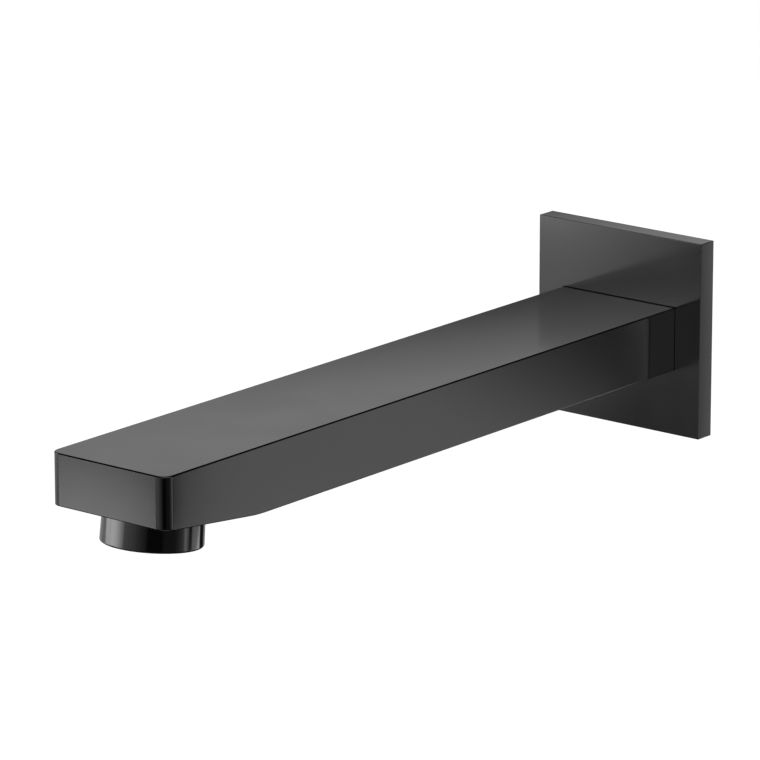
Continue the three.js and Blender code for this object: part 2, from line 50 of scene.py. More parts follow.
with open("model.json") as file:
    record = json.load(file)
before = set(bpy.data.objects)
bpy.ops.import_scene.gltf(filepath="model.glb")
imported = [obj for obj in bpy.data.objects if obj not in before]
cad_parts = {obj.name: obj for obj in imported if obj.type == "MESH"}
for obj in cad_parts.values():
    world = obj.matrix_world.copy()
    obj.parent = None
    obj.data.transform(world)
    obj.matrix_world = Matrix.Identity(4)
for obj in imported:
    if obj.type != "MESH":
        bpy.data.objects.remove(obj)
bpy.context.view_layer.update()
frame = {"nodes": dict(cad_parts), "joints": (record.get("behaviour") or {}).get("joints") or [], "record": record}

MM = 0.001
BODY_LOW, BODY_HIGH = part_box("spout_body")
PLATE_LOW, PLATE_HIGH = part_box("wall_plate")
JOINTS = {joint["name"]: joint for joint in frame["joints"]}

# The outlet axis leaves the sloping underside here, and points out of the spout.
OUTLET = Vector(JOINTS["aerator_turn"]["pos_m"])
OUTLET_AXIS = Vector(JOINTS["aerator_turn"]["axis"]).normalized()
RAMP_SLOPE = OUTLET_AXIS.y / OUTLET_AXIS.z
RAMP_START = OUTLET.y + (OUTLET.z - BODY_LOW.z) / RAMP_SLOPE
SCREW_AXIS_Y = JOINTS["grub_screw_turn"]["pos_m"][1]
OUTLET_HOLE = 12.05 * MM
SCREW_HOLE = 2.7 * MM


# ------------------------------------------------------------------ settings


class SpoutSizes(bpy.types.PropertyGroup):
    """Sizes that the frame leaves to the maker."""

    wall: FloatProperty(
        name="Wall", description="Thickness of the spout's brass wall",
        default=2.0 * MM, unit="LENGTH")
    edge: FloatProperty(
        name="Long edges", description="Radius of the spout's long edges",
        default=0.4 * MM, unit="LENGTH")
    corner: FloatProperty(
        name="Tip corners", description="Radius of the two upright corners at the tip",
        default=3.4 * MM, unit="LENGTH")
    bend: FloatProperty(
        name="Underside bend", description="Radius where the underside starts to rise",
        default=60.0 * MM, unit="LENGTH")
    plate_edge: FloatProperty(
        name="Plate edges", description="Radius of the cover plate's edges",
        default=0.16 * MM, unit="LENGTH")
    plate_face: FloatProperty(
        name="Plate face", description="Thickness of the cover plate's front",
        default=2.4 * MM, unit="LENGTH")
    plate_rim: FloatProperty(
        name="Plate rim", description="Thickness of the cover plate's sides",
        default=1.8 * MM, unit="LENGTH")


class SpoutColours(bpy.types.PropertyGroup):
    """Finish colours, as sRGB hex."""

    coating: StringProperty(name="Coating", description="Black coating", default="#6B6B6B")
    brass: StringProperty(name="Brass", description="Machined brass", default="#D9B36C")
    rubber: StringProperty(name="Rubber", description="Black rubber", default="#1C1C1D")
    foam: StringProperty(name="Foam", description="Sealing foam", default="#4B4B4D")
    steel: StringProperty(name="Steel", description="Stainless steel", default="#C9CBCE")
    white: StringProperty(name="White plastic", description="Acetal", default="#E4E2DB")
    grey: StringProperty(name="Grey plastic", description="Acetal", default="#86898E")
    floor: StringProperty(name="Floor", description="Studio floor", default="#FBFBFB")


class SpoutStage(bpy.types.PropertyGroup):
    """Camera and studio."""

    azimuth: FloatProperty(
        name="Azimuth", description="Camera's turn round the spout from straight on, to the right",
        default=math.radians(38.89), subtype="ANGLE")
    elevation: FloatProperty(
        name="Elevation", description="Camera's height above the horizon",
        default=math.radians(15.358), subtype="ANGLE")
    distance: FloatProperty(
        name="Distance", description="Camera to the point it looks at",
        default=1.7656, unit="LENGTH")
    lens: FloatProperty(
        name="Lens", description="Focal length on a 36 mm sensor",
        default=268.67, unit="CAMERA")
    aim: FloatVectorProperty(
        name="Aim", description="Point that the camera looks at",
        default=(-0.0919, -0.0064, -0.0320), subtype="XYZ", unit="LENGTH")
    floor_drop: FloatProperty(
        name="Floor", description="Floor below the spout's axis",
        default=1.2, unit="LENGTH")


# ------------------------------------------------------------------ colours and materials


def srgb(hex_colour):
    """An sRGB hex colour as linear RGBA."""
    parts = [int(hex_colour[k:k + 2], 16) / 255 for k in (1, 3, 5)]
    linear = [p / 12.92 if p <= 0.04045 else ((p + 0.055) / 1.055) ** 2.4 for p in parts]
    return (*linear, 1.0)


def add_node(tree, kind, links=None, **settings):
    """Adds a node. Settings are its properties, or its sockets' values by name; links feed its sockets."""
    node = tree.nodes.new(kind)
    for key, value in settings.items():
        if hasattr(node, key):
            setattr(node, key, value)
        else:
            node.inputs[key.replace("_", " ")].default_value = value
    for socket, source in (links or {}).items():
        tree.links.new(source, node.inputs[socket])
    return node


def new_material(name):
    """An empty node material with its tree and output."""
    material = bpy.data.materials.new(name)
    material.use_nodes = True
    material.node_tree.nodes.clear()
    output = material.node_tree.nodes.new("ShaderNodeOutputMaterial")
    return material, material.node_tree, output


def finish_material(tree, output, shader):
    tree.links.new(shader.outputs[0], output.inputs["Surface"])


def grain(tree, spacing, detail=3.0, squash=(1, 1, 1)):
    """Noise whose grains are about `spacing` metres apart, stretched along axes by `squash`."""
    place = add_node(tree, "ShaderNodeTexCoord")
    turn = add_node(tree, "ShaderNodeMapping", {"Vector": place.outputs["Object"]}, Scale=squash)
    return add_node(
        tree, "ShaderNodeTexNoise", {"Vector": turn.outputs[0]}, Scale=1 / spacing, Detail=detail)


def varied(tree, source, low, high, from_low=0.35, from_high=0.65):
    """Maps a pattern to a range of values."""
    return add_node(
        tree, "ShaderNodeMapRange", {"Value": source.outputs[0]},
        **{"From_Min": from_low, "From_Max": from_high, "To_Min": low, "To_Max": high})


def bump(tree, source, height, strength=1.0):
    return add_node(
        tree, "ShaderNodeBump", {"Height": source.outputs[0]}, Distance=height, Strength=strength)


def satin_black_coating(name="satin_black_coating", roughness=0.13):
    """Satin black coating on polished brass: a dark even mirror with softened reflections.

    Faint thickness changes some centimetres across move the gloss a little, and a very fine
    levelling texture, drawn coarser than the real one so that it shows, breaks up highlights.
    """
    material, tree, output = new_material(name)
    colour = srgb(bpy.context.scene.spout_colours.coating)
    cloud = grain(tree, 24 * MM, detail=2.0)
    gloss = varied(tree, cloud, roughness - 0.012, roughness + 0.012)
    skin = grain(tree, 0.35 * MM, detail=1.0)
    relief = bump(tree, skin, 0.0006 * MM, strength=0.6)
    shader = add_node(
        tree, "ShaderNodeBsdfPrincipled",
        {"Roughness": gloss.outputs[0], "Normal": relief.outputs[0]},
        Base_Color=colour, Metallic=1.0)
    finish_material(tree, output, shader)
    return material


def machined_brass():
    """Bare turned brass: yellow metal with fine tool lines that stretch the highlights."""
    material, tree, output = new_material("machined_brass")
    lines = grain(tree, 0.35 * MM, detail=2.0, squash=(0.15, 1.0, 0.15))
    tint = add_node(
        tree, "ShaderNodeValToRGB", {"Fac": grain(tree, 6 * MM).outputs[0]})
    base = srgb(bpy.context.scene.spout_colours.brass)
    tint.color_ramp.elements[0].color = [c * 0.8 for c in base[:3]] + [1]
    tint.color_ramp.elements[1].color = base
    shader = add_node(
        tree, "ShaderNodeBsdfPrincipled",
        {"Base Color": tint.outputs[0],
         "Roughness": varied(tree, lines, 0.22, 0.36).outputs[0],
         "Normal": bump(tree, lines, 0.004 * MM).outputs[0]},
        Metallic=1.0)
    finish_material(tree, output, shader)
    return material


def moulded_rubber():
    """Moulded EPDM: near black and dull, with a fine bloom."""
    material, tree, output = new_material("moulded_rubber")
    bloom = grain(tree, 0.8 * MM)
    shader = add_node(
        tree, "ShaderNodeBsdfPrincipled",
        {"Roughness": varied(tree, bloom, 0.55, 0.75).outputs[0],
         "Normal": bump(tree, bloom, 0.006 * MM).outputs[0]},
        Base_Color=srgb(bpy.context.scene.spout_colours.rubber), Metallic=0.0)
    finish_material(tree, output, shader)
    return material


def closed_cell_foam():
    """Closed-cell sealing foam: matt grey, with cells about half a millimetre across, and painted shade darkening
    the sunken middle of each cell.
    """
    material, tree, output = new_material("closed_cell_foam")
    place = add_node(tree, "ShaderNodeTexCoord")
    cells = add_node(
        tree, "ShaderNodeTexVoronoi", {"Vector": place.outputs["Object"]}, Scale=1 / (0.55 * MM))
    # Painted shade: the colour darkens towards each cell's middle, where the bump sinks into a pit.
    cell_pit_shade = add_node(tree, "ShaderNodeValToRGB", {"Fac": cells.outputs["Distance"]})
    base = srgb(bpy.context.scene.spout_colours.foam)
    cell_pit_shade.color_ramp.elements[0].color = [c * 0.55 for c in base[:3]] + [1]
    cell_pit_shade.color_ramp.elements[1].color = base
    shader = add_node(
        tree, "ShaderNodeBsdfPrincipled",
        {"Base Color": cell_pit_shade.outputs[0], "Normal": bump(tree, cells, 0.15 * MM).outputs[0]},
        Roughness=0.92, Metallic=0.0)
    finish_material(tree, output, shader)
    return material


def drawn_stainless():
    """Stainless steel, drawn or cold headed: pale metal with soft gloss changes."""
    material, tree, output = new_material("drawn_stainless")
    streaks = grain(tree, 0.5 * MM, squash=(1.0, 1.0, 0.2))
    shader = add_node(
        tree, "ShaderNodeBsdfPrincipled",
        {"Roughness": varied(tree, streaks, 0.2, 0.34).outputs[0],
         "Normal": bump(tree, streaks, 0.003 * MM).outputs[0]},
        Base_Color=srgb(bpy.context.scene.spout_colours.steel), Metallic=1.0)
    finish_material(tree, output, shader)
    return material


def moulded_acetal(name, colour):
    """Moulded acetal: waxy plastic with a fine spark-eroded grain."""
    material, tree, output = new_material(name)
    texture = grain(tree, 0.4 * MM)
    shader = add_node(
        tree, "ShaderNodeBsdfPrincipled",
        {"Roughness": varied(tree, texture, 0.38, 0.5).outputs[0],
         "Normal": bump(tree, texture, 0.006 * MM).outputs[0]},
        Base_Color=srgb(colour), Metallic=0.0, IOR=1.48)
    finish_material(tree, output, shader)
    return material


FINISHES = {}


def make_finishes():
    """Makes each finish once, by the record's slot name."""
    colours = bpy.context.scene.spout_colours
    FINISHES.update({
        "satin_black": satin_black_coating(),
        "brass": machined_brass(),
        "black_rubber": moulded_rubber(),
        "foam": closed_cell_foam(),
        "steel": drawn_stainless(),
        "white_plastic": moulded_acetal("white_acetal", colours.white),
        "grey_plastic": moulded_acetal("grey_acetal", colours.grey),
    })


# ------------------------------------------------------------------ mesh tools


def new_piece(name, mesh):
    piece = bpy.data.objects.new(name, mesh)
    bpy.context.scene.collection.objects.link(piece)
    return piece


def mesh_piece(name, points, faces):
    """A closed mesh from points and faces, welded, with its faces pointing outwards."""
    shape = bmesh.new()
    corners = [shape.verts.new(p) for p in points]
    for face in faces:
        shape.faces.new([corners[k] for k in face])
    bmesh.ops.remove_doubles(shape, verts=shape.verts, dist=1e-7)
    bmesh.ops.dissolve_degenerate(shape, edges=shape.edges, dist=1e-8)
    bmesh.ops.recalc_face_normals(shape, faces=shape.faces)
    mesh = bpy.data.meshes.new(name)
    shape.to_mesh(mesh)
    shape.free()
    return new_piece(name, mesh)


def settle(piece):
    """Turns a piece's modifiers into plain mesh."""
    bpy.context.view_layer.update()
    graph = bpy.context.evaluated_depsgraph_get()
    mesh = bpy.data.meshes.new_from_object(piece.evaluated_get(graph))
    piece.modifiers.clear()
    piece.data = mesh
    mesh.name = piece.name
    return piece


def soften(piece, radius, segments=4, angle=30):
    """Rounds every edge sharper than `angle` degrees."""
    bevel = piece.modifiers.new("edges", "BEVEL")
    bevel.width = radius
    bevel.segments = segments
    bevel.limit_method = "ANGLE"
    bevel.angle_limit = math.radians(angle)
    bevel.use_clamp_overlap = True
    return settle(piece)


def carve(piece, cutters, operation="DIFFERENCE"):
    """Cuts pieces out of a piece, or joins them on, and removes them."""
    for cutter in cutters:
        tool = piece.modifiers.new("cut", "BOOLEAN")
        tool.operation = operation
        tool.object = cutter
        tool.solver = "EXACT"
        settle(piece)
        bpy.data.objects.remove(cutter)
    return piece


def smooth(piece, angle=35):
    """Smooth shading that keeps flat faces flat and edges above `angle` degrees crisp."""
    piece.data.polygons.foreach_set("use_smooth", [True] * len(piece.data.polygons))
    shape = bmesh.new()
    shape.from_mesh(piece.data)
    for edge in shape.edges:
        turned = len(edge.link_faces) == 2 and edge.calc_face_angle(0.0) > math.radians(angle)
        edge.smooth = not turned
    shape.to_mesh(piece.data)
    shape.free()
    weighted = piece.modifiers.new("flat faces stay flat", "WEIGHTED_NORMAL")
    weighted.keep_sharp = True
    weighted.weight = 100
    return piece


def dress(piece, body, slot, *nodes):
    """Gives a piece its finish, puts it on its body and hides the CAD nodes it stands for."""
    piece.data.materials.clear()
    piece.data.materials.append(FINISHES[slot])
    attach(piece, body)
    if nodes:
        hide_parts(*nodes)
    return piece


def rounded(profile, radius, steps=4):
    """A closed outline with each corner turned into an arc, as far as its sides allow."""
    result = []
    count = len(profile)
    for k in range(count):
        corner = Vector(profile[k])
        before = Vector(profile[k - 1]) - corner
        after = Vector(profile[(k + 1) % count]) - corner
        spread = before.angle(after)
        if spread > math.radians(170):
            result.append(tuple(corner))
            continue
        reach = min(radius / math.tan(spread / 2), before.length * 0.45, after.length * 0.45)
        start = corner + before.normalized() * reach
        end = corner + after.normalized() * reach
        for step in range(steps + 1):
            share = step / steps
            mid = start.lerp(corner, share).lerp(corner.lerp(end, share), share)
            result.append(tuple(mid))
    return result


def turned(name, profile, steps, place, shape=None):
    """A ring-shaped piece: a closed outline of (radius, depth) turned about an axis.

    `place` takes (across, across, depth) to the frame, and `shape` may change the radius at
    an angle, as a hexagon or a thread does.
    """
    points, faces = [], []
    count = len(profile)
    for k in range(steps):
        angle = 2 * math.pi * k / steps
        for radius, depth in profile:
            r = shape(radius, depth, angle) if shape else radius
            points.append(place @ Vector((r * math.cos(angle), r * math.sin(angle), depth)))
        here, there = k * count, (k + 1) % steps * count
        for j in range(count):
            n = (j + 1) % count
            faces.append((here + j, here + n, there + n, there + j))
    return mesh_piece(name, points, faces)


def solid_rod(name, radius, low, high, steps, place):
    """A closed rod, used only to cut holes."""
    points = [place @ Vector((radius * math.cos(2 * math.pi * k / steps),
                              radius * math.sin(2 * math.pi * k / steps), depth))
              for depth in (low, high) for k in range(steps)]
    faces = [tuple(range(steps)), tuple(range(steps, 2 * steps))]
    faces += [(k, (k + 1) % steps, steps + (k + 1) % steps, steps + k) for k in range(steps)]
    return mesh_piece(name, points, faces)


def axis_frame(origin, axis):
    """Takes local +Z to `axis` and the local origin to `origin`."""
    return Matrix.Translation(origin) @ Vector((0, 0, 1)).rotation_difference(axis).to_matrix().to_4x4()


INLET_FRAME = axis_frame(Vector((0, 0, 0)), Vector((0, -1, 0)))
OUTLET_FRAME = axis_frame(OUTLET, OUTLET_AXIS)
SCREW_FRAME = axis_frame(Vector((0, SCREW_AXIS_Y, 0)), Vector((0, 0, -1)))


def depth_range(node, origin, axis):
    """Lowest and highest place of a CAD node's points along an axis."""
    places = [(v.co - origin).dot(axis) for v in frame["nodes"][node].data.vertices]
    return min(places), max(places)


def radius_range(node, origin, axis):
    """Smallest and largest distance of a CAD node's points from an axis."""
    radii = [((v.co - origin) - axis * (v.co - origin).dot(axis)).length
             for v in frame["nodes"][node].data.vertices]
    return min(radii), max(radii)


def frames_loft(name, outlines):
    """A closed ring lofted through rectangles (half width, half height, centre Z, Y)."""
    points, faces = [], []
    for half_x, half_z, middle, y in outlines:
        points += [Vector((sx * half_x, y, middle + sz * half_z))
                   for sx, sz in ((-1, -1), (1, -1), (1, 1), (-1, 1))]
    count = len(outlines)
    for k in range(count):
        here, there = 4 * k, 4 * ((k + 1) % count)
        for j in range(4):
            n = (j + 1) % 4
            faces.append((here + j, here + n, there + n, there + j))
    return mesh_piece(name, points, faces)


# ------------------------------------------------------------------ spout body


def bend_reach():
    """How far the underside's soft bend runs to each side of where the ramp starts."""
    return bpy.context.scene.spout_sizes.bend * math.tan(math.atan(RAMP_SLOPE) / 2)


def underside(y):
    """Height of the spout's underside, with a soft bend between the flat and the ramp."""
    reach = bend_reach()
    run = RAMP_START - y
    if run <= -reach:
        return BODY_LOW.z
    if run >= reach:
        return BODY_LOW.z + run * RAMP_SLOPE
    return BODY_LOW.z + (run + reach) ** 2 / (4 * reach) * RAMP_SLOPE


INNER_CORNER = 0.8 * MM  # radius that the tip's corners keep on the inside of the wall
FILLET_STEPS = 6
REAR_STEPS = 12  # along the flat, the bend's half, the ramp and a tip corner
BEND_STEPS = 4
RAMP_STEPS = 8
CORNER_STEPS = 14


def half_outline(inset, rear):
    """The right half of the spout seen from above, from its open rear round to the tip's middle."""
    sizes = bpy.context.scene.spout_sizes
    side, tip = BODY_HIGH.x - inset, BODY_LOW.y + inset
    radius = sizes.corner - min(inset, sizes.corner - INNER_CORNER)
    reach = bend_reach()
    outline = [(side, rear + (RAMP_START + reach - rear) * k / REAR_STEPS)
               for k in range(REAR_STEPS)]
    outline += [(side, RAMP_START + reach * (1 - k / BEND_STEPS)) for k in range(2 * BEND_STEPS + 1)]
    outline += [(side, RAMP_START - reach + (tip + radius - RAMP_START + reach) * k / RAMP_STEPS)
                for k in range(1, RAMP_STEPS)]
    outline += [(side - radius * (1 - math.cos(a)), tip + radius * (1 - math.sin(a)))
                for a in (math.pi / 2 * k / CORNER_STEPS for k in range(CORNER_STEPS + 1))]
    return outline


def spout_layers(inset, fillet, rear, lift):
    """The spout's skin as layers from its bottom edge to its top edge, and their two caps.

    Each layer is the outline seen from above, drawn in by the edge's rounding, so the long
    edges, the tip's edges and its upright corners all flow into one another.
    """
    turns = [math.pi / 2 * k / FILLET_STEPS for k in range(FILLET_STEPS + 1)]
    levels = [(fillet * (1 - math.sin(t)), fillet * (1 - math.cos(t)), 0) for t in turns]
    levels += [(fillet * (1 - math.sin(t)), fillet * (1 - math.cos(t)), 1) for t in reversed(turns)]
    points, faces = [], []
    for drawn_in, off_edge, top in levels:
        half = half_outline(inset + drawn_in, rear)
        base = half_outline(inset, rear)
        for side in (1, -1):
            row = half if side == 1 else list(reversed(half))
            guide = base if side == 1 else list(reversed(base))
            for (x, y), (_, along) in zip(row, guide):
                foot = underside(along) + lift
                z = BODY_HIGH.z - lift - off_edge if top else foot + off_edge
                points.append(Vector((side * x, y, z)))
    count = 2 * len(half_outline(inset, rear))
    for k in range(len(levels) - 1):
        for j in range(count - 1):
            a, c = k * count + j, (k + 1) * count + j
            faces.append((a, a + 1, c + 1, c))
    for layer in (0, len(levels) - 1):
        start = layer * count
        for j in range(count // 2 - 1):
            left = start + count - 1 - j
            faces.append((start + j, start + j + 1, left - 1, left))
    rear_ring = [k * count for k in range(len(levels))]
    rear_ring += [k * count + count - 1 for k in reversed(range(len(levels)))]
    return points, faces, rear_ring


def spout_shell():
    """The closed skin of the hollow spout: outside, inside, and the narrow rear end between."""
    sizes = bpy.context.scene.spout_sizes
    rear = BODY_HIGH.y
    outside, outside_faces, outside_ring = spout_layers(0.0, sizes.edge, rear, 0.0)
    inside, inside_faces, inside_ring = spout_layers(sizes.wall, sizes.edge, rear, sizes.wall)
    shift = len(outside)
    faces = outside_faces + [tuple(k + shift for k in face) for face in inside_faces]
    ring = [k + shift for k in inside_ring]
    for j in range(len(outside_ring)):
        n = (j + 1) % len(outside_ring)
        faces.append((outside_ring[j], outside_ring[n], ring[n], ring[j]))
    return mesh_piece("spout_shell", outside + inside, faces)


class SPOUT_OT_body(bpy.types.Operator):
    """Make the hollow spout body with its rounded edges and the holes in its underside"""

    bl_idname = "spout.body"
    bl_label = "Spout body"

    def execute(self, context):
        body = carve(spout_shell(), [
            solid_rod("outlet_hole", OUTLET_HOLE, -3 * MM, 3 * MM, 96, OUTLET_FRAME),
            solid_rod("screw_hole", SCREW_HOLE, -BODY_LOW.z - 3 * MM, -BODY_LOW.z + 3 * MM, 48,
                      SCREW_FRAME),
        ])
        dress(smooth(body), "spout", "satin_black", "spout_body")
        return {"FINISHED"}


# ------------------------------------------------------------------ cover plate

APERTURE_GAP = 0.06 * MM
SEAL_ROOM = 2.69 * MM
RIB = 1.2 * MM


class SPOUT_OT_cover_plate(bpy.types.Operator):
    """Make the square cover plate with its cup-shaped back and the rib that holds the seal"""

    bl_idname = "spout.cover_plate"
    bl_label = "Cover plate"

    def execute(self, context):
        sizes = context.scene.spout_sizes
        middle = (PLATE_LOW.z + PLATE_HIGH.z) / 2
        side = PLATE_HIGH.x
        front, back = PLATE_LOW.y, PLATE_HIGH.y
        floor = front + sizes.plate_face
        cup = side - sizes.plate_rim
        half_x, half_z = BODY_HIGH.x + APERTURE_GAP, BODY_HIGH.z + APERTURE_GAP
        rib_back = floor + 2.2 * MM
        plate = frames_loft("cover_plate", [
            (side, side, middle, back),
            (side, side, middle, front),
            (half_x, half_z, 0.0, front),
            (half_x, half_z, 0.0, floor),
            (half_x + SEAL_ROOM, half_z + SEAL_ROOM, 0.0, floor),
            (half_x + SEAL_ROOM, half_z + SEAL_ROOM, 0.0, rib_back),
            (half_x + SEAL_ROOM + RIB, half_z + SEAL_ROOM + RIB, 0.0, rib_back),
            (half_x + SEAL_ROOM + RIB, half_z + SEAL_ROOM + RIB, 0.0, floor),
            (cup, cup, middle, floor),
            (cup, cup, middle, back),
        ])
        soften(plate, sizes.plate_edge, segments=4)
        dress(smooth(plate), "cover_plate", "satin_black", "wall_plate")
        return {"FINISHED"}


class SPOUT_OT_plate_seals(bpy.types.Operator):
    """Make the foam pad behind the cover plate and the rubber ring round the spout"""

    bl_idname = "spout.plate_seals"
    bl_label = "Plate seals"

    def execute(self, context):
        low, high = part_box("plate_gasket")
        middle = (low.z + high.z) / 2
        inner = SEAL_ROOM + RIB + APERTURE_GAP + 0.25 * MM
        half_x, half_z = BODY_HIGH.x + inner, BODY_HIGH.z + inner
        pad = frames_loft("foam_pad", [
            (high.x, high.x, middle, high.y), (high.x, high.x, middle, low.y),
            (half_x, half_z, 0.0, low.y), (half_x, half_z, 0.0, high.y)])
        dress(smooth(soften(pad, 0.35 * MM)), "cover_plate", "foam", "plate_gasket")
        low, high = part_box("plate_seal_ring")
        lip = [(0.0, 0.0), (0.0, 1.0), (0.35, 1.0), (0.35, 0.6), (1.0, 0.6), (1.0, 0.0)]
        gap = APERTURE_GAP
        ring = frames_loft("seal_ring", [
            (BODY_HIGH.x + gap + (high.x - BODY_HIGH.x - gap) * across,
             BODY_HIGH.z + gap + (high.z - BODY_HIGH.z - gap) * across,
             0.0, low.y + (high.y - low.y) * deep) for across, deep in lip])
        dress(smooth(soften(ring, 0.2 * MM)), "cover_plate", "black_rubber", "plate_seal_ring")
        return {"FINISHED"}


# ------------------------------------------------------------------ inlet


def hexagonal(flats, angle):
    """Radius of a hexagon with that distance across its flats, at an angle."""
    part = (angle + math.pi / 6) % (math.pi / 3) - math.pi / 6
    return flats / 2 / math.cos(part)


def thread_cut(depth, angle, pitch, height):
    """How far a V thread lies below its crest at a depth and an angle."""
    phase = (depth / pitch - angle / (2 * math.pi)) % 1.0
    return height * min(1.0, max(0.0, 1.25 - 2.5 * abs(phase - 0.5)))


class SPOUT_OT_inlet_connector(bpy.types.Operator):
    """Make the wall connector: threaded tail, hexagon and grooved spigot"""

    bl_idname = "spout.inlet_connector"
    bl_label = "Inlet connector"

    def execute(self, context):
        low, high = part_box("inlet_connector")
        tail, end = -high.y, -low.y
        crest = high.x
        bore = radius_range("inlet_connector", Vector(), Vector((0, 1, 0)))[0]
        spigot = 5.45 * MM
        groove_floor, groove_half = 4.05 * MM, 0.85 * MM
        waist, waist_half = spigot - 0.9 * MM, 2.45 * MM
        pitch, cut = 1.814 * MM, 1.16 * MM  # half-inch pipe thread, 14 to the inch
        hex_flats, hex_corner, hex_end = 12 * MM, 6.93 * MM, 7.0 * MM
        ring_half = 0.6 * MM
        rings = [-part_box(f"spigot_o_ring_{which}")[0].y - ring_half for which in ("rear", "front")]
        steps = 100
        run = [tail + 0.6 * MM + (-0.9 * MM - tail) * k / steps for k in range(steps + 1)]
        outline = [(bore, tail), (crest - 1.6 * MM, tail)]
        outline += [(crest, s) for s in run]
        outline += [(6.9 * MM, -0.2 * MM), (hex_corner, 0.3 * MM), (hex_corner, hex_end - 0.5 * MM),
                    (6.1 * MM, hex_end), (spigot, hex_end)]
        for centre, deep, wide in ((-SCREW_AXIS_Y, waist, waist_half),
                                   (rings[0], groove_floor, groove_half),
                                   (rings[1], groove_floor, groove_half)):
            outline += [(spigot, centre - wide - 0.1 * MM), (spigot - 0.1 * MM, centre - wide),
                        (deep, centre - wide), (deep, centre + wide),
                        (spigot - 0.1 * MM, centre + wide), (spigot, centre + wide + 0.1 * MM)]
        outline += [(spigot, end - 0.9 * MM), (spigot - 0.7 * MM, end), (bore + 0.2 * MM, end),
                    (bore, end - 0.2 * MM)]

        def shape(radius, depth, angle):
            if radius >= crest - 1e-6 and depth < 0:
                lead = min(1.0, (depth - tail) / (1.2 * MM), (-0.3 * MM - depth) / (0.8 * MM))
                return radius - 1.2 * MM + lead * (1.2 * MM - thread_cut(depth, angle, pitch, cut))
            if radius > 6.8 * MM and 0 < depth < hex_end:
                return min(hexagonal(hex_flats, angle), radius)
            return radius

        piece = turned("wall_connector", outline, 96, INLET_FRAME, shape)
        dress(smooth(piece, angle=40), "spout", "brass", "inlet_connector")
        return {"FINISHED"}


class SPOUT_OT_o_rings(bpy.types.Operator):
    """Make the four o-rings of the spigot and the water tube, and the regulator's ring"""

    bl_idname = "spout.o_rings"
    bl_label = "O-rings"

    def execute(self, context):
        straight = Vector((0, -1, 0))
        rings = [(node, "spout", INLET_FRAME, Vector(), straight) for node in (
            "spigot_o_ring_rear", "spigot_o_ring_front", "tube_o_ring_inlet", "tube_o_ring_outlet")]
        rings.append(("regulator_o_ring", "aerator_stack", OUTLET_FRAME, OUTLET, OUTLET_AXIS))
        for node, body, place, origin, axis in rings:
            inner, outer = radius_range(node, origin, axis)
            low, high = depth_range(node, origin, axis)
            middle, centre = (inner + outer) / 2, (low + high) / 2
            section = (high - low) / 2
            outline = [(middle + section * math.cos(a), centre + section * math.sin(a))
                       for a in (2 * math.pi * k / 16 for k in range(16))]
            piece = turned(f"{node}_smooth", outline, 64, place)
            dress(smooth(piece, angle=60), body, "black_rubber", node)
        return {"FINISHED"}


class SPOUT_OT_grub_screw(bpy.types.Operator):
    """Make the hex socket grub screw and the pad that it presses on the spigot"""

    bl_idname = "spout.grub_screw"
    bl_label = "Grub screw"

    def execute(self, context):
        origin, axis = Vector((0, SCREW_AXIS_Y, 0)), Vector((0, 0, -1))
        low, high = depth_range("grub_screw", origin, axis)
        radius = radius_range("grub_screw", origin, axis)[1]
        key, key_floor, key_flats = 1.44 * MM, high - 1.8 * MM, 2.5 * MM
        pitch, cut = 0.8 * MM, 0.42 * MM  # M5 coarse
        run = [low + 0.3 * MM + (high - low - 0.6 * MM) * k / 32 for k in range(33)]
        outline = [(0.02 * MM, low), (radius - 0.6 * MM, low)] + [(radius, s) for s in run]
        outline += [(radius - 0.5 * MM, high), (key + 0.25 * MM, high), (key, high - 0.25 * MM),
                    (key, key_floor), (0.02 * MM, key_floor + 0.3 * MM)]

        def shape(r, depth, angle):
            if r >= radius - 1e-6:
                return r - thread_cut(depth, angle, pitch, cut)
            if abs(r - key) < 0.01 * MM:
                return min(hexagonal(key_flats, angle), key)
            return r

        screw = turned("socket_screw", outline, 60, SCREW_FRAME, shape)
        dress(smooth(screw, angle=40), "screw", "steel", "grub_screw")
        low, high = depth_range("clamp_pad", origin, axis)
        radius = radius_range("clamp_pad", origin, axis)[1]
        pad_outline = rounded([(0.02 * MM, low), (radius, low), (radius, high), (0.02 * MM, high)],
                              0.15 * MM)
        pad = turned("soft_pad", pad_outline, 48, SCREW_FRAME)
        dress(smooth(pad), "screw_pad", "white_plastic", "clamp_pad")
        return {"FINISHED"}


# ------------------------------------------------------------------ aerator


